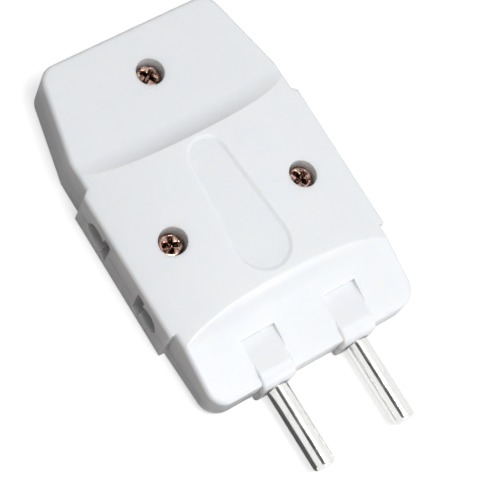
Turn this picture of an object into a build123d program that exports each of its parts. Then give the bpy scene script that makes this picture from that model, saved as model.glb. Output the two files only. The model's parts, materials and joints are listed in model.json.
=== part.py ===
from build123d import *
from math import acos, cos, radians, sin, sqrt, tan
import os

# A three-way plug adapter, lying on its front cover with the screw side up.
# X is the width, Y the length with the plug pins towards -Y, Z up. Lengths are in millimetres.
# Here Y is measured from the face of the pin bosses and Z from the table. Each finished piece is
# moved along Y, so that the origin lies on the table face, midway between the two side sockets.

# Body, seen from above
BODY_WIDTH = 48.2
BODY_END_Y = 75.4
NOSE_Y = 1.0
NOSE_CORNER_RADIUS = 4.0
TAPER_START_Y = 56.0
HEAD_END_WIDTH = 39.6
HEAD_CORNER_RADIUS = 4.0

# Body, seen from the side
SIDE_HEIGHT = 12.0
CROWN_RISE = 2.5
HEAD_DROP = 0.05
HEAD_SCOOP_Y = 54.3
SCOOP_RADIUS = 6.0
SCOOP_ANGLE = 72.0
SLOPE_TOP_Y = 13.3
SLOPE_DROP = 0.05
SLOPE_ANGLE = 14.5
UNDER_SLOPE_Y = 17.0
UNDER_SLOPE_ANGLE = 6.5
RIM_RADIUS = 0.95
CREST_RADIUS = 0.9

# Shells, parted at the middle of the socket holes and, at the pin end, at the middle of the pins
WALL = 2.0
PARTING_HEIGHT = 5.75
PARTING_STEP_Y = 17.0
PARTING_STEP_GAP = 0.05
LIP_HEIGHT = 1.2
LIP_THICKNESS = 0.9
LIP_GAP = 0.1
LIP_ROOT = 1.5

# Side pads that carry the side sockets
PAD_PROUD = 1.2
PAD_LENGTH = 31.6
PAD_RAMP = 1.0
PAD_ROOT = 1.8
SIDE_SOCKET_Y = 32.8

# Socket holes: a round hole merged with a slot for a flat blade
PIN_PITCH = 19.0
BLADE_PITCH = 12.5
HOLE_RADIUS = 2.9
SLOT_WIDTH = 2.2
SLOT_HEIGHT = 7.4

# Plug pins, each with a narrow neck at the boss face and a groove that a rib of the covers fills
PIN_HEIGHT = 4.3
PIN_RADIUS = 2.4
PIN_LENGTH = 18.0
PIN_TIP_RADIUS = 1.0
PIN_SEAT_GAP = 0.05
PIN_NECK_RADIUS = 1.8
PIN_NECK_LENGTH = 0.3
PIN_ROOT_Y = 0.3
PIN_ROOT_RADIUS = 2.6
GROOVE_RADIUS = 1.8
GROOVE_LENGTH = 1.6
GROOVE_Y = 5.0
SHANK_END_Y = 12.4
TAIL_RADIUS = 1.25
PEEN_RADIUS = 1.8
PEEN_HEIGHT = 0.8

# Bosses around the pins
BOSS_WIDTH = 7.8
BOSS_TOP = 9.9
BOSS_BOTTOM = 0.7
BOSS_BACK_Y = 10.2
BOSS_NOSE_RADIUS = 3.0
BOSS_EDGE_RADIUS = 0.6
PIN_BLOCK_WALL = 1.5

# Screws, their wells and posts
SIDE_SCREW_INSET = 8.9
HEAD_SCREW_Y = 65.4
WELL_RADIUS = 2.9
WELL_WALL = 1.2
WELL_DEPTH = 4.0
SEAT_THICKNESS = 1.6
POST_RADIUS = 3.2
SCREW_HEAD_RADIUS = 2.75
SCREW_HEAD_HEIGHT = 1.9
SCREW_SHANK_RADIUS = 1.2
SCREW_SHANK_LENGTH = 6.5
SCREW_POINT_LENGTH = 1.2
SCREW_GAP = 0.05
SCREW_HOLE_RADIUS = 1.6
RECESS_WIDTH = 0.8
RECESS_SPAN = 3.0
RECESS_DEPTH = 1.2

# Label recess
LABEL_FOOT_Y = 24.6
LABEL_FOOT_RADIUS = 5.3
LABEL_TOP_Y = 44.2
LABEL_TOP_RADIUS = 3.6
LABEL_DEPTH = 0.4
LABEL_WALL_ANGLE = 60.0

# Bars, each with a tab that its pin's tail is peened over
BAR_THICKNESS = 0.6
BAR_WIDTH = 5.0
BAR_SPINE_X = 3.4
BAR_STEP_Y = 18.0
BAR_FORK_Y = 55.5
TAB_WIDTH = 6.0
TAB_THICKNESS = 0.8
TAB_RISE = 2.9
TAB_FOOT = 1.7

# Contacts: two sprung leaves on a base, widest at the mouth and closest at the throat
CONTACT_SHEET = 0.4
CONTACT_LENGTH = 11.0
CONTACT_SETBACK = 1.2
CONTACT_WIDTH = 7.2
CONTACT_THROAT = 4.6
CONTACT_HEIGHT = 6.0
CONTACT_FLARE = 0.5
THROAT_SHARE = 0.35
ROOT_SHARE = 0.7
RIVET_EDGE = 1.65

# Rivets and the pads that bear on the bars
RIVET_RADIUS = 1.1
RIVET_BORE = 0.6
RIVET_FLANGE_RADIUS = 1.7
RIVET_FLANGE = 0.35
RIVET_POCKET_GAP = 0.2
STAY_RADIUS = 1.2

# Values that follow from the sizes above
UPRIGHT_TILT = 0.02
LEVEL_TILT = 0.3
HALF_BODY = BODY_WIDTH / 2
HALF_PADS = HALF_BODY + PAD_PROUD
CROWN_HEIGHT = SIDE_HEIGHT + CROWN_RISE
TALL = 3 * CROWN_HEIGHT
CROWN_RADIUS = (HALF_BODY ** 2 + CROWN_RISE ** 2) / (2 * CROWN_RISE)
HEAD_HEIGHT = SIDE_HEIGHT - HEAD_DROP
SLOPE_TOP_HEIGHT = SIDE_HEIGHT - SLOPE_DROP
PIN_X = PIN_PITCH / 2
SIDE_SCREW_X = HALF_BODY - SIDE_SCREW_INSET
SLOT_X = BLADE_PITCH / 2
PAD_START_Y = SIDE_SOCKET_Y - PAD_LENGTH / 2
PAD_END_Y = SIDE_SOCKET_Y + PAD_LENGTH / 2
PIN_BLOCK_END_Y = BOSS_BACK_Y + PIN_BLOCK_WALL
SIDE_WALL_FACE = HALF_BODY - WALL
END_WALL_FACE = BODY_END_Y - WALL
FLOOR_HEIGHT = WALL
BAR_REACH = PARTING_HEIGHT - FLOOR_HEIGHT
CONTACT_BASE = BAR_REACH - BAR_THICKNESS
SIDE_CONTACT_MOUTH = SIDE_WALL_FACE - CONTACT_SETBACK
END_CONTACT_MOUTH = END_WALL_FACE - CONTACT_SETBACK
RIVET_BACK = CONTACT_LENGTH / 2
THROAT_DEPTH = CONTACT_LENGTH * THROAT_SHARE
ROOT_DEPTH = CONTACT_LENGTH * ROOT_SHARE
BASE_DEPTH = RIVET_BACK - RIVET_EDGE

SIDES = {"left": -1, "right": 1}
POLES = {"live": -1, "neutral": 1}


def slope_line(y, inset=0.0):
    """Height of the sloped top of the pin end at a length, set in by a distance."""
    angle = radians(SLOPE_ANGLE)
    return SLOPE_TOP_HEIGHT - (SLOPE_TOP_Y - y) * tan(angle) - inset / cos(angle)


def under_line(y, inset=0.0):
    """Height of the sloped underside of the pin end at a length, set in by a distance."""
    angle = radians(UNDER_SLOPE_ANGLE)
    return max(0.0, UNDER_SLOPE_Y - y) * tan(angle) + inset / cos(angle)


def crown_line(x, inset=0.0):
    """Height of the crowned back at a width, set in by a distance."""
    return CROWN_HEIGHT - CROWN_RADIUS + sqrt((CROWN_RADIUS - inset) ** 2 - x ** 2)


def slope_scoop(angle, inset=0.0):
    """A point in the side view on the scoop over the slope, at an angle up from its lowest point."""
    slope_angle = radians(SLOPE_ANGLE)
    radius = SCOOP_RADIUS + inset
    centre_y = SLOPE_TOP_Y - SCOOP_RADIUS * sin(slope_angle)
    centre_z = SLOPE_TOP_HEIGHT + SCOOP_RADIUS * cos(slope_angle)
    return centre_y + radius * sin(angle), centre_z - radius * cos(angle)


def head_scoop(angle, inset=0.0):
    """A point in the side view on the scoop over the head, at an angle up from its lowest point."""
    radius = SCOOP_RADIUS + inset
    return HEAD_SCOOP_Y - radius * sin(angle), HEAD_HEIGHT + SCOOP_RADIUS - radius * cos(angle)


def crest_angle(scoop):
    """The angle at which a scoop comes up to the crown's middle."""
    lowest = scoop(0)[1]
    return acos(1 - (CROWN_HEIGHT - lowest) / SCOOP_RADIUS)


def body_plan(inset):
    """Outline of the body from above, without its side pads."""
    head_x = HEAD_END_WIDTH / 2
    right = [(HALF_BODY, NOSE_Y), (HALF_BODY, TAPER_START_Y), (head_x, BODY_END_Y)]
    left = [(-x, y) for x, y in reversed(right)]
    face = make_face(Polyline(*right, *left, close=True))
    face = fillet(face.vertices().sort_by(Axis.Y)[:2], NOSE_CORNER_RADIUS)
    face = fillet(face.vertices().sort_by(Axis.Y)[-2:], HEAD_CORNER_RADIUS)
    if inset > 0:
        face = offset(face, amount=-inset)
    return face


def body_side(inset):
    """Outline of the body from the side, with both scooped steps, open above the crown."""
    slope_angle = radians(SLOPE_ANGLE)
    end_angle = radians(SCOOP_ANGLE)

    def head_arc(angle):
        return head_scoop(angle, inset)

    def slope_arc(angle):
        return slope_scoop(angle, inset)

    nose_y = NOSE_Y + inset
    head_y = BODY_END_Y - inset
    under_y = UNDER_SLOPE_Y + inset * tan(radians(UNDER_SLOPE_ANGLE) / 2)
    edges = [
        Polyline((under_y, inset), (head_y, inset), (head_y, HEAD_HEIGHT - inset), head_arc(0)),
        ThreePointArc(head_arc(0), head_arc(end_angle / 2), head_arc(end_angle)),
        Polyline(head_arc(end_angle), (head_arc(end_angle)[0], TALL),
                 (slope_arc(end_angle)[0], TALL), slope_arc(end_angle)),
        ThreePointArc(slope_arc(end_angle), slope_arc((end_angle + slope_angle) / 2),
                      slope_arc(slope_angle)),
        Polyline(slope_arc(slope_angle), (nose_y, slope_line(nose_y, inset)),
                 (nose_y, under_line(nose_y, inset)), (under_y, inset)),
    ]
    return make_face(Curve() + edges)


def crown(inset):
    """The round barrel that the crowned back is part of."""
    barrel = Cylinder(CROWN_RADIUS - inset, 6 * BODY_END_Y, rotation=(90, 0, 0))
    return Pos(0, 0, CROWN_HEIGHT - CROWN_RADIUS) * barrel


def body_form(inset=0.0):
    """The body without its pads, set in by a distance on every side."""
    form = extrude(body_plan(inset), TALL)
    form = form & extrude(Plane.YZ * body_side(inset), BODY_WIDTH, both=True)
    return form & crown(inset)


def rim_edges(body, up):
    """Edges where an upright face meets one that faces up (1) or down (-1)."""
    faces = body.faces()
    picked = ShapeList()
    for edge in body.edges():
        pair = [face for face in faces if any(edge.is_same(other) for other in face.edges())]
        tilts = sorted(face.normal_at(edge.center()).Z * up for face in pair)
        if len(tilts) == 2 and abs(tilts[0]) < UPRIGHT_TILT and tilts[1] > LEVEL_TILT:
            picked.append(edge)
    return picked


def pad_form(side):
    """The raised pad of one side socket, over the full height of the body."""
    inner = HALF_BODY - PAD_ROOT
    plan = make_face(Polyline((inner, PAD_START_Y), (HALF_PADS, PAD_START_Y), (HALF_PADS, PAD_END_Y),
                              (HALF_BODY, PAD_END_Y + PAD_RAMP), (inner, PAD_END_Y + PAD_RAMP), close=True))
    pad = extrude(plan, TALL) & crown(0)
    outer = pad.faces().sort_by(Axis.X)[-1]
    long_edges = outer.edges().filter_by(Axis.Y)
    pad = fillet(long_edges, RIM_RADIUS)
    return pad if side > 0 else mirror(pad, Plane.YZ)


def boss_form(side):
    """The box-shaped boss that holds one pin and stands proud of the pin end."""
    height = BOSS_TOP - BOSS_BOTTOM
    boss = Pos(side * PIN_X, BOSS_BACK_Y / 2, BOSS_BOTTOM + height / 2) * Box(BOSS_WIDTH, BOSS_BACK_Y, height)
    front_top = boss.faces().sort_by(Axis.Y)[0].edges().sort_by(Axis.Z)[-1]
    boss = fillet(front_top, BOSS_NOSE_RADIUS)
    front = boss.faces().sort_by(Axis.Y)[0]
    return fillet(front.edges().sort_by(Axis.Z)[:-1], BOSS_EDGE_RADIUS)


def boss_notch(side):
    """The space above a boss, where its level top cuts into the slope."""
    height = TALL - BOSS_TOP
    centre_y = (NOSE_Y + BOSS_BACK_Y) / 2 - NOSE_Y
    return Pos(side * PIN_X, centre_y, BOSS_TOP + height / 2) * Box(BOSS_WIDTH, BOSS_BACK_Y + NOSE_Y, height)


def label_recess():
    """The shallow tapered recess for a label, with flared walls, along the middle of the back."""
    drop = LABEL_TOP_Y - LABEL_FOOT_Y
    lean = (LABEL_FOOT_RADIUS - LABEL_TOP_RADIUS) / drop
    flat = sqrt(1 - lean ** 2)

    def tangent(radius, y, side):
        return side * radius * flat, y + radius * lean

    foot_right = tangent(LABEL_FOOT_RADIUS, LABEL_FOOT_Y, 1)
    foot_left = tangent(LABEL_FOOT_RADIUS, LABEL_FOOT_Y, -1)
    top_right = tangent(LABEL_TOP_RADIUS, LABEL_TOP_Y, 1)
    top_left = tangent(LABEL_TOP_RADIUS, LABEL_TOP_Y, -1)
    edges = [
        Line(foot_right, top_right),
        ThreePointArc(top_right, (0, LABEL_TOP_Y + LABEL_TOP_RADIUS), top_left),
        Line(top_left, foot_left),
        ThreePointArc(foot_left, (0, LABEL_FOOT_Y - LABEL_FOOT_RADIUS), foot_right),
    ]
    floor = crown_line(LABEL_FOOT_RADIUS, LABEL_DEPTH)
    height = 2 * (CROWN_HEIGHT - floor)
    flared = extrude(make_face(Curve() + edges), height, taper=-LABEL_WALL_ANGLE)
    return Pos(0, 0, floor) * flared - crown(LABEL_DEPTH)


def hole_cut():
    """One socket hole along -Y from the origin: a round hole merged with a blade slot towards -X."""
    depth = 4 * PAD_PROUD + 2 * WALL
    round_hole = Cylinder(HOLE_RADIUS, depth, rotation=(90, 0, 0))
    slot = Pos(SLOT_X - PIN_X, 0, 0) * Box(SLOT_WIDTH, depth, SLOT_HEIGHT)
    return round_hole + slot


def socket_places():
    """Each socket's name with the place of its face, which looks along local +Y."""
    return {
        "left": Location((-HALF_PADS, SIDE_SOCKET_Y, PARTING_HEIGHT), (0, 0, 90)),
        "right": Location((HALF_PADS, SIDE_SOCKET_Y, PARTING_HEIGHT), (0, 0, -90)),
        "end": Location((0, BODY_END_Y, PARTING_HEIGHT), (0, 0, 0)),
    }


def all_hole_cuts():
    """The six socket holes, two in each socket."""
    cuts = []
    for place in socket_places().values():
        hole = Pos(PIN_X, 0, 0) * hole_cut()
        cuts.append(place * hole)
        cuts.append(place * mirror(hole, Plane.YZ))
    return cuts


def screw_places():
    """Each screw's name with its X, Y and the height of the back there."""
    side_height = crown_line(SIDE_SCREW_X)
    return {
        "left": (-SIDE_SCREW_X, SIDE_SOCKET_Y, side_height),
        "right": (SIDE_SCREW_X, SIDE_SOCKET_Y, side_height),
        "head": (0, HEAD_SCREW_Y, HEAD_HEIGHT),
    }


def column(radius, bottom, top, x=0.0, y=0.0):
    """An upright round column between two heights."""
    return Pos(x, y, (bottom + top) / 2) * Cylinder(radius, top - bottom)


def pin_cut():
    """The round seats of both pins, each with the rib that fills the pin's groove left standing."""
    seat = Cylinder(PIN_RADIUS + PIN_SEAT_GAP, 2 * PIN_LENGTH, rotation=(90, 0, 0))
    root_length = 2 * (SHANK_END_Y - PIN_ROOT_Y)
    root = Cylinder(PIN_ROOT_RADIUS + PIN_SEAT_GAP, root_length, rotation=(90, 0, 0))
    seat = seat + Pos(0, PIN_ROOT_Y - PIN_SEAT_GAP + root_length / 2, 0) * root
    rib = Cylinder(PIN_RADIUS * 2, GROOVE_LENGTH - 2 * PIN_SEAT_GAP, rotation=(90, 0, 0))
    rib = rib - Cylinder(GROOVE_RADIUS + PIN_SEAT_GAP, 2 * GROOVE_LENGTH, rotation=(90, 0, 0))
    seat = seat - Pos(0, GROOVE_Y + GROOVE_LENGTH / 2, 0) * rib
    return [Pos(side * PIN_X, 0, PIN_HEIGHT) * seat for side in SIDES.values()]


def pin_block(side):
    """The solid block inside the pin end that backs a boss and holds the pin."""
    width = BOSS_WIDTH + 2 * PIN_BLOCK_WALL
    depth = PIN_BLOCK_END_Y - NOSE_Y
    return Pos(side * PIN_X, NOSE_Y + depth / 2, TALL / 2) * Box(width, depth, TALL)


def outer_body():
    """The whole outside of the adapter as one block, before it is split into covers."""
    body = body_form()
    body = fillet(rim_edges(body, 1) + rim_edges(body, -1), RIM_RADIUS)
    crest_y = slope_scoop(crest_angle(slope_scoop))[0]
    crest = body.edges().sort_by_distance((0, crest_y, CROWN_HEIGHT))[0]
    body = fillet(crest, CREST_RADIUS)
    for side in SIDES.values():
        body = body + pad_form(side)
    for side in SIDES.values():
        body = body - boss_notch(side)
        body = body + boss_form(side)
    return body


def half_space(low, high):
    """Everything between two heights."""
    return Pos(0, BODY_END_Y / 2, (low + high) / 2) * Box(4 * BODY_WIDTH, 4 * BODY_END_Y, high - low)


def front_space(gap):
    """Everything ahead of the step in the parting line, up to a distance from that step."""
    length = 2 * BODY_END_Y
    return Pos(0, PARTING_STEP_Y - gap - length / 2, 0) * Box(4 * BODY_WIDTH, length, 4 * TALL)


def lower_space():
    """Everything under the parting line, which steps down to the middle of the pins."""
    return half_space(-TALL, PARTING_HEIGHT) - (half_space(PIN_HEIGHT, TALL) & front_space(0))


def upper_space():
    """Everything over the parting line."""
    return half_space(PARTING_HEIGHT, TALL) + (half_space(PIN_HEIGHT, TALL) & front_space(PARTING_STEP_GAP))


def lip():
    """The thin lip of the front cover that registers inside the back cover."""
    top = PARTING_HEIGHT + LIP_HEIGHT
    root = PARTING_HEIGHT - LIP_ROOT
    inner = extrude(body_plan(WALL + LIP_GAP + LIP_THICKNESS), TALL)
    high = (extrude(body_plan(WALL + LIP_GAP), TALL) - inner) & half_space(root, top)
    low = (extrude(body_plan(WALL / 2), TALL) - inner) & half_space(root, PARTING_HEIGHT)
    return (high + low) - front_space(0)


def back_cover(body, cavity):
    """The half shell with the screw wells and the label recess."""
    upper_body = body & upper_space()
    cover = upper_body - cavity
    for side in SIDES.values():
        cover = cover + (upper_body & pin_block(side))
    for x, y, surface in screw_places().values():
        seat = surface - WELL_DEPTH
        cover = cover + (upper_body & column(WELL_RADIUS + WELL_WALL, seat - SEAT_THICKNESS, TALL, x, y))
        cover = cover - column(WELL_RADIUS, seat, TALL, x, y)
        cover = cover - column(SCREW_HOLE_RADIUS, 0, TALL, x, y)
    for x, y in neutral_stays():
        cover = cover + (upper_body & column(STAY_RADIUS, PARTING_HEIGHT + BAR_REACH, TALL, x, y))
    cover = cover - label_recess()
    for cut in all_hole_cuts() + pin_cut():
        cover = cover - cut
    return cover


def front_cover(body, cavity):
    """The half shell that lies on the table, with the screw posts and the lip."""
    lower_body = body & lower_space()
    cover = lower_body - cavity
    for side in SIDES.values():
        cover = cover + (lower_body & pin_block(side))
    cover = cover + lip()
    for x, y, surface in screw_places().values():
        post_top = surface - WELL_DEPTH - SEAT_THICKNESS
        hole_bottom = surface - WELL_DEPTH - SCREW_SHANK_LENGTH - 2 * SCREW_GAP
        cover = cover + column(POST_RADIUS, WALL / 2, post_top, x, y)
        cover = cover - column(SCREW_SHANK_RADIUS + SCREW_GAP, hole_bottom, TALL, x, y)
    for cut in all_hole_cuts() + pin_cut():
        cover = cover - cut
    pocket_radius = RIVET_FLANGE_RADIUS + RIVET_POCKET_GAP
    for x, y in contact_rivets(POLES["live"]):
        cover = cover - column(pocket_radius, FLOOR_HEIGHT - 2 * RIVET_FLANGE, FLOOR_HEIGHT + WALL / 2, x, y)
    return cover


def plug_pin(side):
    """A solid round pin with its neck and groove, and a tail peened over the bar's tab."""
    tail_end = SHANK_END_Y + TAB_THICKNESS
    length = PIN_LENGTH - PIN_NECK_LENGTH
    shank = Pos(0, -PIN_LENGTH + length / 2, 0) * Cylinder(PIN_RADIUS, length, rotation=(90, 0, 0))
    tip = shank.faces().sort_by(Axis.Y)[0]
    shank = fillet(tip.edges(), PIN_TIP_RADIUS)
    shank = shank + Cylinder(PIN_NECK_RADIUS, 2 * (PIN_NECK_LENGTH + PIN_ROOT_Y), rotation=(90, 0, 0))
    root_length = SHANK_END_Y - PIN_ROOT_Y
    root = Cylinder(PIN_ROOT_RADIUS, root_length, rotation=(90, 0, 0))
    shank = shank + Pos(0, PIN_ROOT_Y + root_length / 2, 0) * root
    groove = Cylinder(PIN_RADIUS * 2, GROOVE_LENGTH, rotation=(90, 0, 0))
    groove = groove - Cylinder(GROOVE_RADIUS, 2 * GROOVE_LENGTH, rotation=(90, 0, 0))
    shank = shank - Pos(0, GROOVE_Y + GROOVE_LENGTH / 2, 0) * groove
    tail = Pos(0, tail_end / 2, 0) * Cylinder(TAIL_RADIUS, tail_end, rotation=(90, 0, 0))
    peen = Pos(0, tail_end + PEEN_HEIGHT / 2, 0) * Cylinder(PEEN_RADIUS, PEEN_HEIGHT, rotation=(90, 0, 0))
    rim = peen.faces().sort_by(Axis.Y)[-1]
    peen = fillet(rim.edges(), PEEN_HEIGHT / 2)
    return Pos(side * PIN_X, 0, PIN_HEIGHT) * (shank + tail + peen)


def cover_screw(x, y, surface):
    """A pan-head self-tapping screw with a cross recess."""
    seat = surface - WELL_DEPTH
    head = column(SCREW_HEAD_RADIUS, seat, seat + SCREW_HEAD_HEIGHT)
    top = head.faces().sort_by(Axis.Z)[-1]
    head = fillet(top.edges(), SCREW_HEAD_HEIGHT / 2)
    shank = column(SCREW_SHANK_RADIUS, seat - SCREW_SHANK_LENGTH, seat)
    end = shank.faces().sort_by(Axis.Z)[0]
    shank = chamfer(end.edges(), SCREW_POINT_LENGTH, SCREW_SHANK_RADIUS / 2)
    screw = head + shank
    recess_z = seat + SCREW_HEAD_HEIGHT - RECESS_DEPTH / 2
    for turn in (0, 90):
        arm = Rot(0, 0, turn) * Box(RECESS_SPAN, RECESS_WIDTH, RECESS_DEPTH)
        screw = screw - Pos(0, 0, recess_z) * arm
    return Pos(x, y, 0) * screw


def contact_places(pole):
    """Socket names with the place of this pole's contact: mouth at the origin, opening along +Y."""
    level = PARTING_HEIGHT
    side_y = SIDE_SOCKET_Y + pole * PIN_X
    return {
        "left": Location((-SIDE_CONTACT_MOUTH, side_y, level), (0, 0, 90)),
        "right": Location((SIDE_CONTACT_MOUTH, side_y, level), (0, 0, -90)),
        "end": Location((pole * PIN_X, END_CONTACT_MOUTH, level), (0, 0, 0)),
    }


def contact_rivets(pole):
    """Plan positions of the rivets of one pole."""
    spots = []
    for place in contact_places(pole).values():
        spot = (place * Pos(0, -RIVET_BACK, 0)).position
        spots.append((spot.X, spot.Y))
    return spots


def leaf_outline(side):
    """Plan outline of one spring leaf: a flared mouth, a throat and a straight root."""
    outer = CONTACT_WIDTH / 2
    throat = CONTACT_THROAT / 2
    centre = [
        (side * (outer + CONTACT_FLARE), 0),
        (side * throat, -THROAT_DEPTH),
        (side * outer, -ROOT_DEPTH),
        (side * outer, -CONTACT_LENGTH),
    ]
    outward = [(x + side * CONTACT_SHEET, y) for x, y in reversed(centre)]
    return make_face(Polyline(*centre, *outward, close=True))


def spring_contact(pole):
    """A folded contact: a base on its bar and two spring leaves, for the low or the high bar."""
    base_z = pole * CONTACT_BASE
    base_width = CONTACT_WIDTH + 2 * CONTACT_SHEET
    base_length = CONTACT_LENGTH - BASE_DEPTH
    base_y = -CONTACT_LENGTH + base_length / 2
    base = Pos(0, base_y, base_z - pole * CONTACT_SHEET / 2) * Box(base_width, base_length, CONTACT_SHEET)
    contact = base
    for side in (-1, 1):
        leaf = extrude(leaf_outline(side), CONTACT_HEIGHT)
        bottom = base_z if pole < 0 else base_z - CONTACT_HEIGHT
        contact = contact + Pos(0, 0, bottom) * leaf
    return contact - Pos(0, -RIVET_BACK, 0) * Cylinder(RIVET_RADIUS, 4 * BAR_REACH)


def rivet(pole):
    """A hollow rivet through the bar and the contact's base."""
    outer = pole * BAR_REACH
    inner = pole * (CONTACT_BASE - CONTACT_SHEET)
    low = min(outer, inner)
    high = max(outer, inner)
    body = column(RIVET_RADIUS, low, high)
    body = body + column(RIVET_FLANGE_RADIUS, low - RIVET_FLANGE, low)
    body = body + column(RIVET_FLANGE_RADIUS, high, high + RIVET_FLANGE)
    body = body - Cylinder(RIVET_BORE, 4 * BAR_REACH)
    return Pos(0, -RIVET_BACK, 0) * body


def strip(x1, y1, x2, y2, level):
    """A level piece of bar between two corners in plan, centred on a height."""
    return Pos((x1 + x2) / 2, (y1 + y2) / 2, level) * Box(abs(x2 - x1), abs(y2 - y1), BAR_THICKNESS)


def bar(pole):
    """A stamped strip from a pin's tab to a contact in each of the three sockets."""
    level = PARTING_HEIGHT + pole * (BAR_REACH - BAR_THICKNESS / 2)
    front_level = PIN_HEIGHT + TAB_RISE - BAR_THICKNESS / 2
    half = BAR_WIDTH / 2
    spine = pole * BAR_SPINE_X
    arm_y = SIDE_SOCKET_Y + pole * PIN_X
    arm_x = SIDE_CONTACT_MOUTH - BASE_DEPTH
    foot_x = pole * PIN_X
    end_y = END_CONTACT_MOUTH - BASE_DEPTH
    tab_y = SHANK_END_Y + TAB_THICKNESS / 2

    plate = strip(spine - half, BAR_STEP_Y, spine + half, BAR_FORK_Y, level)
    plate = plate + strip(-arm_x, arm_y - half, arm_x, arm_y + half, level)
    plate = plate + strip(spine - half, BAR_FORK_Y - BAR_WIDTH, foot_x + pole * half, BAR_FORK_Y, level)
    plate = plate + strip(foot_x - half, BAR_FORK_Y - BAR_WIDTH, foot_x + half, end_y, level)
    plate = plate + strip(spine - pole * half, BAR_STEP_Y, foot_x + pole * half, BAR_STEP_Y + half, level)

    tab_centre = PIN_HEIGHT + (TAB_RISE - TAB_FOOT) / 2
    tab = Pos(foot_x, tab_y, tab_centre) * Box(TAB_WIDTH, TAB_THICKNESS, TAB_RISE + TAB_FOOT)
    foot = strip(foot_x - half, SHANK_END_Y, foot_x + half, BAR_STEP_Y + BAR_THICKNESS, front_level)
    step_height = abs(level - front_level) + BAR_THICKNESS
    step_y = BAR_STEP_Y + BAR_THICKNESS / 2
    step = Pos(foot_x, step_y, (level + front_level) / 2) * Box(BAR_WIDTH, BAR_THICKNESS, step_height)

    whole = plate + tab + foot + step
    tail_hole = Cylinder(TAIL_RADIUS, 2 * TAB_THICKNESS, rotation=(90, 0, 0))
    whole = whole - Pos(foot_x, tab_y, PIN_HEIGHT) * tail_hole
    for x, y in contact_rivets(pole):
        whole = whole - column(RIVET_RADIUS, 0, TALL, x, y)
    return whole


def neutral_stays():
    """Plan positions of the back cover's stays, which press on the high bar."""
    spine = POLES["neutral"] * BAR_SPINE_X
    foot_x = POLES["neutral"] * PIN_X
    arm_y = SIDE_SOCKET_Y + POLES["neutral"] * PIN_X
    return [(spine, SIDE_SOCKET_Y), (spine, BAR_STEP_Y + BAR_WIDTH), (-BAR_WIDTH, arm_y),
            (foot_x, BAR_FORK_Y - BAR_WIDTH / 2)]


def save(shape, name):
    """Writes one piece under its own name, moved to the origin, and prints its size."""
    solids = (Pos(0, -SIDE_SOCKET_Y, 0) * shape).solids()
    piece = solids[0] if len(solids) == 1 else Compound(solids)
    piece.label = name
    export_step(piece, f"parts/{name}.step")
    box = piece.bounding_box()
    print(name, len(solids), [round(v, 1) for v in (*box.min, *box.max)], round(piece.volume, 1))


os.makedirs("parts", exist_ok=True)

body = outer_body()
cavity = body_form(WALL)
save(back_cover(body, cavity), "back_cover")
save(front_cover(body, cavity), "front_cover")

for side_name, side in SIDES.items():
    save(plug_pin(side), f"plug_pin_{side_name}")

for screw_name, (x, y, surface) in screw_places().items():
    save(cover_screw(x, y, surface), f"cover_screw_{screw_name}")

for pole_name, pole in POLES.items():
    save(bar(pole), f"{pole_name}_bar")
    for socket_name, place in contact_places(pole).items():
        save(place * spring_contact(pole), f"contact_{socket_name}_{pole_name}")
        save(place * rivet(pole), f"rivet_{socket_name}_{pole_name}")
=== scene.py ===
# %% [markdown]
# A three-way plug adapter in glossy white plastic lies on a pale table with its screws up.
# The measured solids arrive first and stay where they are. Everything that this file makes
# is fitted to them, in metres: X is the width, the plug pins point along -Y, and Z is up.

# %% Load the measured model
import bpy
import bmesh
import json
from math import atan2, cos, pi, radians, sin
from mathutils import Matrix, Vector


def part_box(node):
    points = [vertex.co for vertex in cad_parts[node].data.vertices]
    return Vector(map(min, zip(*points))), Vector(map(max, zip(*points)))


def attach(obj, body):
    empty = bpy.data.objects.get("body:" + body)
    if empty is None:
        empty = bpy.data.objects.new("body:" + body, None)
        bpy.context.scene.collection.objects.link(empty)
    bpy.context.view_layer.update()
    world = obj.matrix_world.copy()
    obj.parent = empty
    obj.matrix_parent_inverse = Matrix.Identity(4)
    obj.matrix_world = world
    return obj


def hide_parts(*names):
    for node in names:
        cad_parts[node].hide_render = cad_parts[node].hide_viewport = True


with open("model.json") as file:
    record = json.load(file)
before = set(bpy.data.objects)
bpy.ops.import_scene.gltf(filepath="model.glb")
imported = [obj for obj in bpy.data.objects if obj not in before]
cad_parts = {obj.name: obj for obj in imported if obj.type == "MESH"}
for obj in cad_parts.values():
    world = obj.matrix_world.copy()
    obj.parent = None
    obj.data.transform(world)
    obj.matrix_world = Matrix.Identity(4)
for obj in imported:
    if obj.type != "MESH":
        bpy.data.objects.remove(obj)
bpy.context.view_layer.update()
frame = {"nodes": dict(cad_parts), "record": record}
nodes = frame["nodes"]
MM = 0.001

# %% [markdown]
# Materials are small graphs of nodes. They could be drawn by hand in the shader editor, but
# written out they can be read from top to bottom. A few helpers keep each one short. A socket is
# filled in one of two ways: a plain value is written into it, or another node's output is linked.

# %% Add nodes and fill their sockets
def add_node(tree, kind, **settings):
    """Adds a node and sets its own settings, such as its mode."""
    node = tree.nodes.new(kind)
    for name, value in settings.items():
        setattr(node, name, value)
    return node


def fill(tree, socket, value):
    """Links a socket to another node's output, or writes a plain value into it."""
    if isinstance(value, bpy.types.NodeSocket):
        tree.links.new(value, socket)
    else:
        socket.default_value = value


def feed(tree, node, **inputs):
    """Fills a node's sockets by name, with an underscore for each space in the name."""
    for name, value in inputs.items():
        fill(tree, node.inputs[name.replace("_", " ")], value)
    return node


# %% Sums, ranges and patterns
def math_node(tree, operation, first, second=0.0):
    """One sum on two values or sockets; gives its output."""
    node = add_node(tree, "ShaderNodeMath", operation=operation)
    fill(tree, node.inputs[0], first)
    fill(tree, node.inputs[1], second)
    return node.outputs[0]


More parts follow.
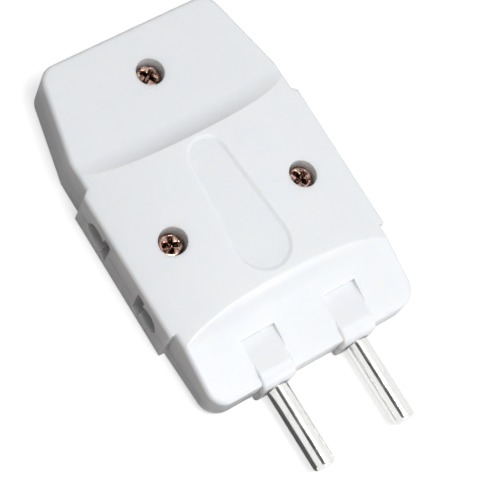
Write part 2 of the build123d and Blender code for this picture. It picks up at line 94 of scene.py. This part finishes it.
def spread(tree, value, low, high, to_low=0.0, to_high=1.0):
    """Spreads a range of a value over another range, held at both ends."""
    node = add_node(tree, "ShaderNodeMapRange")
    feed(tree, node, Value=value, From_Min=low, From_Max=high, To_Min=to_low, To_Max=to_high)
    return node.outputs["Result"]


def hold(tree, value):
    """Holds a value between 0 and 1."""
    return feed(tree, add_node(tree, "ShaderNodeClamp"), Value=value).outputs["Result"]


def noise(tree, vector, scale, detail=2.0, roughness=0.5):
    """A soft random pattern, with its mean near a half."""
    node = add_node(tree, "ShaderNodeTexNoise")
    feed(tree, node, Vector=vector, Scale=scale, Detail=detail, Roughness=roughness)
    return node.outputs["Fac"]


# %% [markdown]
# Two effects show up on more than one finish. The first is the way a surface that was moulded or
# rolled is never quite even: broad soft waves in its gloss and a very fine grain. The second is
# what drawing, rolling and tumbling leave on metal: hairlines that catch the light. Each could be
# copied into every material, but as a group it is built once and placed in each material with its
# own sizes and amounts.

# %% Group for an uneven surface
def new_group(name, inputs, outputs):
    """A shader node group with named inputs, their default values, and named outputs."""
    group = bpy.data.node_groups.new(name, "ShaderNodeTree")
    for socket_name, kind, default in inputs:
        socket = group.interface.new_socket(socket_name, in_out="INPUT", socket_type=kind)
        socket.default_value = default
    for socket_name, kind in outputs:
        group.interface.new_socket(socket_name, in_out="OUTPUT", socket_type=kind)
    return group, group.nodes.new("NodeGroupInput"), group.nodes.new("NodeGroupOutput")


def make_uneven_surface():
    inputs = [("Wave Size", "NodeSocketFloat", 120.0), ("Grain Size", "NodeSocketFloat", 4000.0),
              ("Grain Amount", "NodeSocketFloat", 0.2)]
    outputs = [("Waves", "NodeSocketFloat"), ("Height", "NodeSocketFloat")]
    group, start, end = new_group("uneven surface", inputs, outputs)
    place = add_node(group, "ShaderNodeTexCoord").outputs["Object"]
    waves = noise(group, place, start.outputs["Wave Size"], detail=3.0)
    grain = noise(group, place, start.outputs["Grain Size"], detail=1.0)
    fine = math_node(group, "MULTIPLY", grain, start.outputs["Grain Amount"])
    feed(group, end, Waves=waves, Height=math_node(group, "ADD", waves, fine))
    return group


uneven_surface = make_uneven_surface()
print("group:", uneven_surface.name, "nodes:", len(uneven_surface.nodes))

# %% [markdown]
# A hairline could be painted, but a soft pattern already has thin lines wherever it crosses its
# mean. So the hairlines are the places where a noise is close to a half. Stretching its coordinates
# draws the lines out along the piece, and a second, slow noise sways them off the straight.

# %% Group for hairlines
SWAY_SCALE = 60.0
SWAY_REACH = (0.002, 0.002, 0.002)


def make_hairlines():
    inputs = [("Stretch", "NodeSocketVector", (1.0, 1.0, 1.0)), ("Scale", "NodeSocketFloat", 900.0),
              ("Share", "NodeSocketFloat", 0.04)]
    group, start, end = new_group("hairlines", inputs, [("Mask", "NodeSocketFloat")])
    place = add_node(group, "ShaderNodeTexCoord").outputs["Object"]
    bend = add_node(group, "ShaderNodeTexNoise")
    feed(group, bend, Vector=place, Scale=SWAY_SCALE, Detail=1.0)
    sway = add_node(group, "ShaderNodeVectorMath", operation="MULTIPLY_ADD")
    for socket, value in zip(sway.inputs, (bend.outputs["Color"], SWAY_REACH, place)):
        fill(group, socket, value)
    pull = add_node(group, "ShaderNodeVectorMath", operation="MULTIPLY")
    for socket, value in zip(pull.inputs, (sway.outputs["Vector"], start.outputs["Stretch"])):
        fill(group, socket, value)
    lines = noise(group, pull.outputs["Vector"], start.outputs["Scale"], detail=2.0, roughness=0.6)
    off_mean = math_node(group, "ABSOLUTE", math_node(group, "SUBTRACT", lines, 0.5))
    fall = math_node(group, "DIVIDE", off_mean, start.outputs["Share"])
    feed(group, end, Mask=hold(group, math_node(group, "SUBTRACT", 1.0, fall)))
    return group


hairlines = make_hairlines()
print("group:", hairlines.name, "nodes:", len(hairlines.nodes))

# %% [markdown]
# The two covers meet in a fine line that runs round the sides. It lies at the middle of the socket
# holes, and steps down to the middle of the pins near the pin end. A groove could be cut into the
# mesh, but the solids stay as they are, and the covers touch there. So the line is a narrow mask
# at that height, which darkens the colour and bends the surface like a shallow groove.

# %% Group for the seam between the covers
SEAM_HEIGHT = 5.75 * MM
SEAM_HEIGHT_AT_PINS = 4.3 * MM
SEAM_STEP_Y = -15.8 * MM
SEAM_HALF_WIDTH = 0.06 * MM


def make_seam_line():
    inputs = [("Half Width", "NodeSocketFloat", SEAM_HALF_WIDTH)]
    group, start, end = new_group("seam line", inputs, [("Mask", "NodeSocketFloat")])
    place = add_node(group, "ShaderNodeTexCoord").outputs["Object"]
    axes = feed(group, add_node(group, "ShaderNodeSeparateXYZ"), Vector=place).outputs
    beyond_step = math_node(group, "GREATER_THAN", axes["Y"], SEAM_STEP_Y)
    level = spread(group, beyond_step, 0.0, 1.0, SEAM_HEIGHT_AT_PINS, SEAM_HEIGHT)
    distance = math_node(group, "ABSOLUTE", math_node(group, "SUBTRACT", axes["Z"], level))
    fall = math_node(group, "DIVIDE", distance, start.outputs["Half Width"])
    feed(group, end, Mask=hold(group, math_node(group, "SUBTRACT", 1.0, fall)))
    return group


seam_line = make_seam_line()
print("group:", seam_line.name, "nodes:", len(seam_line.nodes))

# %% [markdown]
# Every finish is one Principled shader. Its steady values are written straight into its sockets,
# and only colour, roughness and the surface normal are fed by nodes. That keeps the graph small,
# and those three are what a maker would notice on the real surfaces.

# %% Helpers for whole materials
def new_finish(name, **steady):
    """A material with a Principled shader; gives the material, its tree and the shader."""
    material = bpy.data.materials.new(name)
    material.use_nodes = True
    tree = material.node_tree
    return material, tree, feed(tree, tree.nodes["Principled BSDF"], **steady)


def place_group(tree, group, **inputs):
    """Places a group in a material with its own values; gives its outputs."""
    return feed(tree, add_node(tree, "ShaderNodeGroup", node_tree=group), **inputs).outputs


def bump(tree, height, distance, strength):
    """Turns a height from 0 to 1 into a bent surface normal."""
    node = add_node(tree, "ShaderNodeBump")
    return feed(tree, node, Height=height, Distance=distance, Strength=strength).outputs["Normal"]


def blend_colour(tree, share, first, second):
    """A colour between two, by a share from 0 to 1."""
    # A Mix node has sockets for numbers, vectors and colours. 6 and 7 in and 2 out are the colours.
    node = add_node(tree, "ShaderNodeMix", data_type="RGBA")
    fill(tree, node.inputs["Factor"], share)
    fill(tree, node.inputs[6], first)
    fill(tree, node.inputs[7], second)
    return node.outputs[2]


# %% [markdown]
# The covers are injection-moulded in a hard white plastic with a soft gloss. Faint waves in the
# roughness keep the wide faces from looking like glass. White plastic could be a plain white
# surface, but light goes a few millimetres into the real one and comes out again, which softens
# every shaded edge. So most of its colour is given by scattering below the surface. Red light
# goes furthest and blue the least, which warms the shade a little.

# %% Finish for the moulded covers
PLASTIC_WHITE = (0.82, 0.835, 0.85, 1.0)
PLASTIC_SHADE = (0.80, 0.815, 0.835, 1.0)
SEAM_SHADE = (0.45, 0.45, 0.44, 1.0)
SCATTER_REACH = 2.4 * MM
SCATTER_BY_COLOUR = (1.0, 0.88, 0.76)


def make_white_plastic():
    material, tree, shader = new_finish("white_moulded_plastic", IOR=1.42, Subsurface_Weight=0.8,
                                        Subsurface_Scale=SCATTER_REACH,
                                        Subsurface_Radius=SCATTER_BY_COLOUR)
    surface = place_group(tree, uneven_surface, Wave_Size=90.0, Grain_Size=5200.0, Grain_Amount=0.05)
    seam = place_group(tree, seam_line, Half_Width=SEAM_HALF_WIDTH)["Mask"]
    waves = surface["Waves"]
    colour = blend_colour(tree, spread(tree, waves, 0.25, 0.75), PLASTIC_WHITE, PLASTIC_SHADE)
    colour = blend_colour(tree, math_node(tree, "MULTIPLY", seam, 0.6), colour, SEAM_SHADE)
    grooved = math_node(tree, "SUBTRACT", surface["Height"], seam)
    feed(tree, shader, Base_Color=colour, Roughness=spread(tree, waves, 0.3, 0.7, 0.3, 0.4),
         Normal=bump(tree, grooved, 0.04 * MM, 0.5))
    return material


white_plastic = make_white_plastic()
print("finish:", white_plastic.name, "nodes:", len(white_plastic.node_tree.nodes))

# %% [markdown]
# The pins are cut from drawn brass rod and plated with nickel, which leaves them almost mirror
# bright. Drawing leaves faint lines along their length that the plating doesn't quite hide. A plain
# mirror finish would do from far away, but close up the lines tell metal from glass, so they are
# a little duller and greyer than the rest.

# %% Finish for the plated pins
NICKEL_BRIGHT = (0.88, 0.875, 0.86, 1.0)
NICKEL_RUBBED = (0.66, 0.65, 0.64, 1.0)


def make_nickel():
    material, tree, shader = new_finish("nickel_plating", Metallic=1.0)
    surface = place_group(tree, uneven_surface, Wave_Size=300.0, Grain_Size=6000.0, Grain_Amount=0.1)
    rubbed = place_group(tree, hairlines, Stretch=(1.0, 0.03, 1.0), Scale=2600.0, Share=0.02)["Mask"]
    rough = spread(tree, surface["Waves"], 0.3, 0.7, 0.1, 0.18)
    feed(tree, shader, Base_Color=blend_colour(tree, rubbed, NICKEL_BRIGHT, NICKEL_RUBBED),
         Roughness=math_node(tree, "ADD", rough, math_node(tree, "MULTIPLY", rubbed, 0.12)),
         Normal=bump(tree, surface["Height"], 0.03 * MM, 0.4))
    return material


nickel = make_nickel()
print("finish:", nickel.name, "nodes:", len(nickel.node_tree.nodes))

# %% [markdown]
# The cover screws are steel with a bronze-coloured passivation. It is patchy where the dip ran thin, so
# a soft pattern mixes a brown and a brighter copper. The recess and the rim, deep in the well, get a
# painted shade: a near-black brown where the real screw lies in shade. A shader could find them by
# their shape, but that only works in some renderers. So the screw's mesh itself says how hidden each
# point is, in an attribute that is filled in further on.

# %% Finish for the screws
BRONZE_BROWN = (0.07, 0.024, 0.014, 1.0)
BRONZE_COPPER = (0.62, 0.42, 0.33, 1.0)
# Painted shade: a near-black brown for the recess and the rim, where the real screw lies in shade.
BRONZE_PAINTED_SHADE = (0.05, 0.014, 0.008, 1.0)
BRONZE_SCUFFED = (0.78, 0.55, 0.46, 1.0)


def make_bronze():
    material, tree, shader = new_finish("bronze_passivation", Metallic=1.0)
    surface = place_group(tree, uneven_surface, Wave_Size=700.0, Grain_Size=9000.0, Grain_Amount=0.3)
    scuffs = place_group(tree, hairlines, Stretch=(1.0, 1.0, 1.0), Scale=1500.0, Share=0.03)["Mask"]
    hidden = add_node(tree, "ShaderNodeAttribute", attribute_name="hidden").outputs["Fac"]
    patches = spread(tree, surface["Waves"], 0.42, 0.58)
    colour = blend_colour(tree, patches, BRONZE_BROWN, BRONZE_COPPER)
    # Painted shade: the more hidden a point is, the nearer its colour comes to the near-black brown.
    colour = blend_colour(tree, hidden, colour, BRONZE_PAINTED_SHADE)
    feed(tree, shader, Base_Color=blend_colour(tree, scuffs, colour, BRONZE_SCUFFED),
         Roughness=spread(tree, surface["Waves"], 0.3, 0.7, 0.14, 0.24),
         Normal=bump(tree, surface["Height"], 0.05 * MM, 0.6))
    return material


bronze = make_bronze()
print("finish:", bronze.name, "nodes:", len(bronze.node_tree.nodes))

# %% [markdown]
# The bars, contacts and rivets inside are stamped from brass sheet. Rolling leaves fine lines
# along the sheet, and the metal dulls unevenly, towards a browner tone. Little of it is seen
# through the socket holes, so two tones and one kind of line are enough.

# %% Finish for the brass inside
BRASS_FRESH = (0.76, 0.56, 0.27, 1.0)
BRASS_DULL = (0.52, 0.36, 0.17, 1.0)


def make_brass():
    material, tree, shader = new_finish("rolled_brass", Metallic=1.0)
    surface = place_group(tree, uneven_surface, Wave_Size=260.0, Grain_Size=7000.0, Grain_Amount=0.2)
    rolled = place_group(tree, hairlines, Stretch=(1.0, 0.05, 1.0), Scale=2200.0, Share=0.05)["Mask"]
    dull = spread(tree, surface["Waves"], 0.35, 0.7)
    rough = spread(tree, surface["Waves"], 0.3, 0.7, 0.22, 0.42)
    feed(tree, shader, Base_Color=blend_colour(tree, dull, BRASS_FRESH, BRASS_DULL),
         Roughness=math_node(tree, "ADD", rough, math_node(tree, "MULTIPLY", rolled, 0.1)),
         Normal=bump(tree, surface["Height"], 0.04 * MM, 0.5))
    return material


brass = make_brass()
print("finish:", brass.name, "nodes:", len(brass.node_tree.nodes))

# %% [markdown]
# The measured model says which kind of material each piece is made of. A piece could be given its
# finish by name, but going by that kind keeps the covers alike, and all the brass too.

# %% Give each solid its finish
FINISHES = {"white_plastic": white_plastic, "pin_plating": nickel, "screw_metal": bronze,
            "sheet_brass": brass}
slot_of = {part["node"]: part["material_slot"] for part in frame["record"]["subparts"]}
for name, solid in nodes.items():
    solid.data.materials.clear()
    solid.data.materials.append(FINISHES[slot_of[name]])
print("finished solids:", len(nodes))

# %% [markdown]
# The cover screws sit at the bottom of round wells, so only their heads show. A real one is rolled
# wire: a low domed head with a cross-shaped recess that narrows downwards, and a coarse thread
# that cuts its own way into the plastic. It could be cut out of a cylinder with booleans, but
# these leave ragged meshes. Here it grows like a turned part: a small ring at the bottom of the
# recess is extruded ring by ring, up the recess, over the head and down the thread. Each new ring
# gets its own outline: a cross, a circle, or a circle with the ridge of the thread on it.

# %% Outlines for the rings of a screw
CORE_RADIUS = 0.9 * MM
THREAD_RADIUS = 1.19 * MM
THREAD_PITCH = 1.1 * MM
RIDGE_STEEPNESS = 3.2


def cross_radius(angle, span, half_width):
    """Distance from the middle to the edge of a cross, in one direction."""
    from_arm = (angle + pi / 4) % (pi / 2) - pi / 4
    to_tip = span / cos(from_arm)
    to_side = half_width / max(abs(sin(from_arm)), 0.001)
    return min(to_tip, to_side)


def cross_ring(span, half_width, height):
    """A cross-shaped ring, given as a rule for radius and height at an angle."""
    return lambda angle: (cross_radius(angle, span, half_width), height)


def round_ring(radius, height):
    """A circular ring, given the same way."""
    return lambda angle: (radius, height)


def thread_ring(height, depth):
    """A ring on the thread: its radius peaks where the ridge passes."""
    def rule(angle):
        along = (height / THREAD_PITCH - angle / (2 * pi)) % 1.0
        ridge = max(0.0, 1.0 - abs(along - 0.5) * RIDGE_STEEPNESS)
        return CORE_RADIUS + depth * ridge, height
    return rule


print("thread in mm:", round(2 * THREAD_RADIUS / MM, 2), "over a pitch of", round(THREAD_PITCH / MM, 2))

# %% [markdown]
# The head is a list of such rings. Each comes with a share that says how hidden it is, which sets how
# much painted shade it gets: one at the bottom of the recess, nought on the bright crown, and one again
# at the rim, deep in the well. The steps of the recess are written out, since their rounded upper edge
# follows no simple rule. The dome is a quarter turn, so its rings are worked out from the angle.

# %% The rings of the head, from the recess outwards
HEAD_HEIGHT = 1.88 * MM
HEAD_RADIUS = 2.73 * MM
HEAD_CHAMFER = 0.1 * MM
CROWN_RADIUS = 2.02 * MM
CROWN_DROP = 0.01 * MM
DOME_HEIGHT = 1.3 * MM
# In millimetres: how far an arm of the cross reaches, half its width, and its depth from the top.
RECESS_STEPS = [
    {"span": 0.72, "half_width": 0.2, "depth": 1.28, "hidden": 1.0},
    {"span": 0.8, "half_width": 0.24, "depth": 1.18, "hidden": 1.0},
    {"span": 1.72, "half_width": 0.43, "depth": 0.16, "hidden": 0.9},
    {"span": 1.84, "half_width": 0.52, "depth": 0.04, "hidden": 0.5},
    {"span": 1.94, "half_width": 0.66, "depth": 0.0, "hidden": 0.1},
]
DOME_HIDDEN = [0.0, 0.0, 0.1, 0.3, 0.5, 0.7, 0.85, 1.0]


def head_rings():
    """Rings from the recess floor to the underside of the head, measured from its seat."""
    rings = []
    for step in RECESS_STEPS:
        height = HEAD_HEIGHT - step["depth"] * MM
        ring = cross_ring(step["span"] * MM, step["half_width"] * MM, height)
        rings.append((ring, step["hidden"]))
    rings.append((round_ring(CROWN_RADIUS, HEAD_HEIGHT - CROWN_DROP), 0.0))
    for number, hidden in enumerate(DOME_HIDDEN, start=1):
        turn = radians(90 * number / len(DOME_HIDDEN))
        radius = CROWN_RADIUS + (HEAD_RADIUS - CROWN_RADIUS) * sin(turn)
        rings.append((round_ring(radius, HEAD_HEIGHT - DOME_HEIGHT * (1 - cos(turn))), hidden))
    rings.append((round_ring(HEAD_RADIUS, HEAD_CHAMFER), 1.0))
    rings.append((round_ring(HEAD_RADIUS - HEAD_CHAMFER, 0.0), 1.0))
    return rings


print("rings on the head:", len(head_rings()))

# %% [markdown]
# Below the head the thread winds down the shank. It could be a ridge swept along a helix and
# joined to the core by a boolean. Here a ring is wider where the ridge passes its height, so core
# and thread are one closed skin. Six rings to a turn are enough, since the thread is never seen.

# %% The rings of the shank, down to its point
SHANK_LENGTH = 6.45 * MM
RINGS_TO_A_TURN = 6
FADE_IN_RINGS = 3
FADE_OUT_RINGS = 6
SHANK_FILLET = 0.1 * MM
POINT_RADIUS = 0.5 * MM
POINT_DROP = 0.02 * MM


def shank_rings():
    """Rings down the thread to the blunt point; the thread fades in and out at its ends."""
    rings = [(round_ring(CORE_RADIUS + SHANK_FILLET, 0.0), 1.0)]
    steps = int(RINGS_TO_A_TURN * SHANK_LENGTH / THREAD_PITCH)
    for step in range(1, steps + 1):
        fade = min(1.0, (steps - step) / FADE_OUT_RINGS, step / FADE_IN_RINGS)
        ring = thread_ring(-SHANK_LENGTH * step / steps, (THREAD_RADIUS - CORE_RADIUS) * fade)
        rings.append((ring, 1.0))
    rings.append((round_ring(POINT_RADIUS, -SHANK_LENGTH - POINT_DROP), 1.0))
    return rings


print("rings on the shank:", len(shank_rings()))

# %% [markdown]
# A screw starts as a capped circle on the floor of the recess. Extruding its open edge adds a ring
# of faces at a time, and the new points are moved to where the ring's rule puts them. At the end
# the last ring is closed with one face. A lathe tool such as spin would be quicker for the head,
# but it can't make a cross or a thread.

# %% Grow a screw ring by ring
RING_POINTS = 48
RECESS_DEPTH = 1.3 * MM
START_RADIUS = 0.1 * MM


def grow_screw():
    """A screw about the Z axis, with its head's seat at height nought."""
    builder = bmesh.new()
    start = bmesh.ops.create_circle(builder, cap_ends=True, segments=RING_POINTS, radius=START_RADIUS)
    bmesh.ops.translate(builder, verts=start["verts"], vec=(0, 0, HEAD_HEIGHT - RECESS_DEPTH))
    hidden = builder.verts.layers.float.new("hidden")
    for vertex in builder.verts:
        vertex[hidden] = 1.0
    rim = builder.edges[:]
    for rule, share in head_rings() + shank_rings():
        grown = bmesh.ops.extrude_edge_only(builder, edges=rim)["geom"]
        for vertex in (part for part in grown if isinstance(part, bmesh.types.BMVert)):
            angle = atan2(vertex.co.y, vertex.co.x)
            radius, height = rule(angle)
            vertex.co = (radius * cos(angle), radius * sin(angle), height)
            vertex[hidden] = share
        rim = [part for part in grown if isinstance(part, bmesh.types.BMEdge)
               and len(part.link_faces) == 1]
    bmesh.ops.contextual_create(builder, geom=rim)
    return builder


print("points round a ring:", RING_POINTS)

# %% [markdown]
# Each measured screw is a plain stand-in, and the detailed one takes its place: in the middle of
# its box, and a hair under its top so that nothing sticks out. The three are one shape at three
# turns, as a screwdriver leaves them. They could be linked copies of one mesh, but here each piece
# keeps its place in a mesh of its own, which also gives each screw its own patches of colour.
# Extruding can leave faces inside out, so the normals are recalculated once the skin is closed.

# %% Put the screws in their wells
SCREW_TURNS = {"cover_screw_left": radians(68), "cover_screw_right": radians(20),
               "cover_screw_head": radians(33)}
TOP_CLEARANCE = 0.02 * MM
SHARP_ANGLE = radians(40)


def place_piece(builder, name, finish, replaces):
    """Turns a finished bmesh into a smooth-shaded piece that stands for a measured node."""
    mesh = bpy.data.meshes.new(name)
    builder.to_mesh(mesh)
    builder.free()
    mesh.shade_smooth()
    mesh.set_sharp_from_angle(angle=SHARP_ANGLE)
    mesh.materials.append(finish)
    piece = bpy.data.objects.new(name, mesh)
    bpy.context.scene.collection.objects.link(piece)
    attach(piece, "root")
    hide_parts(replaces)
    return piece


def make_screw(node_name, turn):
    """A screw in the place of a measured one, which it hides."""
    low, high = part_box(node_name)
    centre = (Vector(low) + Vector(high)) / 2
    seat = Vector((centre.x, centre.y, high[2] - HEAD_HEIGHT - TOP_CLEARANCE))
    builder = grow_screw()
    move = Matrix.Translation(seat) @ Matrix.Rotation(turn, 4, "Z")
    bmesh.ops.transform(builder, verts=builder.verts, matrix=move)
    bmesh.ops.recalc_face_normals(builder, faces=builder.faces)
    return place_piece(builder, node_name + "_turned", bronze, replaces=node_name)


for screw_name, screw_turn in SCREW_TURNS.items():
    screw = make_screw(screw_name, screw_turn)
    print(screw.name, "faces:", len(screw.data.polygons))

# %% [markdown]
# The adapter lies on a white sheet that runs to the horizon, a plain square made by one operator.
# A real sheet could be lit until it is pure white, but it would then flood the shaded sides of the
# adapter with light. The Light Path node tells which kind of ray is asking, so the sheet answers
# each in its own way. To the camera it is white and glows a little, and keeps the soft shadow. In
# reflections it is nearly white. To bounced light it is a dim warm grey.

# %% The sheet on the table
FLOOR_HALF = 1.5


def make_floor():
    builder = bmesh.new()
    bmesh.ops.create_grid(builder, x_segments=1, y_segments=1, size=FLOOR_HALF)
    mesh = bpy.data.meshes.new("floor")
    builder.to_mesh(mesh)
    builder.free()
    sheet = bpy.data.objects.new("floor", mesh)
    bpy.context.scene.collection.objects.link(sheet)
    return sheet


floor = make_floor()
print("floor:", [round(v, 1) for v in floor.dimensions])

# %% Finish for the sheet
SHEET_WHITE = (0.65, 0.65, 0.65, 1.0)
SHEET_BOUNCE = (0.24, 0.208, 0.198, 1.0)
SHEET_IN_REFLECTIONS = (0.95, 0.95, 0.95, 1.0)
SHEET_GLOW = 0.6


def seen_directly(tree):
    """One where the camera, a reflection or glass asks, and nought for bounced light."""
    path = add_node(tree, "ShaderNodeLightPath").outputs
    seen = math_node(tree, "MAXIMUM", path["Is Camera Ray"], path["Is Glossy Ray"])
    return math_node(tree, "MAXIMUM", seen, path["Is Transmission Ray"])


def make_sheet_finish():
    material, tree, shader = new_finish("white_sheet", Roughness=0.7, Specular_IOR_Level=0.0)
    by_camera = add_node(tree, "ShaderNodeLightPath").outputs["Is Camera Ray"]
    colour = blend_colour(tree, seen_directly(tree), SHEET_BOUNCE, SHEET_IN_REFLECTIONS)
    feed(tree, shader, Base_Color=blend_colour(tree, by_camera, colour, SHEET_WHITE))
    glow = add_node(tree, "ShaderNodeEmission")
    feed(tree, glow, Strength=math_node(tree, "MULTIPLY", by_camera, SHEET_GLOW))
    total = add_node(tree, "ShaderNodeAddShader")
    fill(tree, total.inputs[0], shader.outputs[0])
    fill(tree, total.inputs[1], glow.outputs[0])
    feed(tree, tree.nodes["Material Output"], Surface=total.outputs[0])
    return material


floor.data.materials.append(make_sheet_finish())
print("finish:", floor.data.materials[0].name)

# %% [markdown]
# The world is the white room around the table. Seen by the camera or in the pins it is pure white.
# As a source of light it is much weaker, so that the lamps give the adapter its shape.

# %% The white room
def make_world(level):
    world = bpy.data.worlds.new("studio")
    world.use_nodes = True
    bpy.context.scene.world = world
    tree = world.node_tree
    strength = spread(tree, seen_directly(tree), 0.0, 1.0, level, 1.0)
    feed(tree, tree.nodes["Background"], Color=(1.0, 1.0, 1.0, 1.0), Strength=strength)
    return world


studio = make_world(level=0.34)
print("world:", studio.name)

# %% [markdown]
# One soft lamp hangs over the pins, so the pin end is brightest and the light falls off towards
# the head. A sun would light both ends alike, which the real picture doesn't show. A weaker lamp
# low in front whitens the ends of the bosses.

# %% Lamps
OBJECT_MIDDLE = Vector((0.0, 0.0, 0.005))


def add_lamp(name, place, size, power):
    """A square soft lamp at a place, turned to face the adapter."""
    light = bpy.data.lights.new(name, "AREA")
    light.shape = "SQUARE"
    light.size = size
    light.energy = power
    lamp = bpy.data.objects.new(name, light)
    lamp.location = place
    lamp.rotation_euler = (OBJECT_MIDDLE - Vector(place)).to_track_quat("-Z", "Y").to_euler()
    bpy.context.scene.collection.objects.link(lamp)
    return lamp


key_lamp = add_lamp("key_lamp", place=(0.02, -0.13, 0.5), size=0.24, power=1.95)
front_lamp = add_lamp("front_lamp", place=(0.1, -0.5, 0.02), size=0.16, power=0.95)
print("lamps:", key_lamp.name, front_lamp.name)

# %% [markdown]
# Bright metal only looks like metal when it has something dark to reflect. A photographer stands dark
# cards around the table for that, and to keep light off one side. Here are three, all out of the
# camera's sight. One keeps the light off the left side. One, higher up, is what the pins show as a thin
# dark line. The third is a painted shadow: a small dark sheet on the table, where the table lies in the
# left pin's shadow, and the edge of that pin reflects it as a dark band. The first is left out of
# reflections, and the others out of bounced light and shadows, so each does one job.

# %% Dark cards
def make_felt(name, shade):
    """A dull cloth of one grey."""
    return new_finish(name, Roughness=0.95, Base_Color=(shade, shade, shade, 1.0))[0]


def make_card(name, width, length, place, tilt, felt):
    """A flat card of felt, tilted about the object's length and hidden from the camera."""
    builder = bmesh.new()
    bmesh.ops.create_grid(builder, x_segments=1, y_segments=1, size=0.5)
    bmesh.ops.scale(builder, verts=builder.verts, vec=(width, length, 1.0))
    bmesh.ops.rotate(builder, verts=builder.verts, matrix=Matrix.Rotation(tilt, 3, "Y"))
    bmesh.ops.translate(builder, verts=builder.verts, vec=place)
    mesh = bpy.data.meshes.new(name)
    builder.to_mesh(mesh)
    builder.free()
    mesh.materials.append(felt)
    card = bpy.data.objects.new(name, mesh)
    bpy.context.scene.collection.objects.link(card)
    card.visible_camera = False
    return card


shade_card = make_card("shade_card", width=0.28, length=1.0, place=(-0.34, -0.05, 0.21),
                       tilt=radians(90), felt=make_felt("black_felt", 0.02))
shade_card.visible_glossy = False
line_card = make_card("line_card", width=0.21, length=0.8, place=(-0.15, 0.03, 0.36),
                      tilt=radians(-22), felt=make_felt("grey_felt", 0.22))
# Painted shadow: a dark sheet where the table lies in the left pin's shadow, seen only in the pin's
# reflections.
pin_shadow_card = make_card("pin_shadow_card", width=0.047, length=0.022, place=(-0.0362, -0.043, 0.0006),
                      tilt=0.0, felt=make_felt("painted_pin_shadow", 0.07))
for card in (line_card, pin_shadow_card):
    card.visible_diffuse = False
    card.visible_shadow = False
print("cards:", shade_card.name, line_card.name, pin_shadow_card.name)

# %% [markdown]
# The camera looks down on the adapter from its left, with a long lens. It could be placed by its
# position and its turns about the three axes, but those all change at once when one thing is
# nudged. So its direction is kept as two angles and a roll about the line of sight, in radians.

# %% Camera
VIEW_TURN = -1.1106
VIEW_RISE = 1.1428
VIEW_ROLL = 0.5866
VIEW_DISTANCE = 0.3892
VIEW_TARGET = Vector((-0.00084, -0.00453, 0.007))
LENS = 150.0


def make_camera():
    level_reach = cos(VIEW_RISE)
    towards = Vector((level_reach * sin(VIEW_TURN), -level_reach * cos(VIEW_TURN), sin(VIEW_RISE)))
    level = Vector((cos(VIEW_TURN), sin(VIEW_TURN), 0.0))
    upright = towards.cross(level)
    right = cos(VIEW_ROLL) * level + sin(VIEW_ROLL) * upright
    up = -sin(VIEW_ROLL) * level + cos(VIEW_ROLL) * upright
    seer = bpy.data.objects.new("camera", bpy.data.cameras.new("camera"))
    seer.data.lens = LENS
    seer.data.clip_start = 0.01
    turn = Matrix((right, up, towards)).transposed().to_4x4()
    seer.matrix_world = Matrix.Translation(VIEW_TARGET + towards * VIEW_DISTANCE) @ turn
    bpy.context.scene.collection.objects.link(seer)
    bpy.context.scene.camera = seer
    return seer


camera = make_camera()
bpy.context.scene.view_settings.view_transform = "Standard"
print("camera at:", [round(v, 3) for v in camera.location])
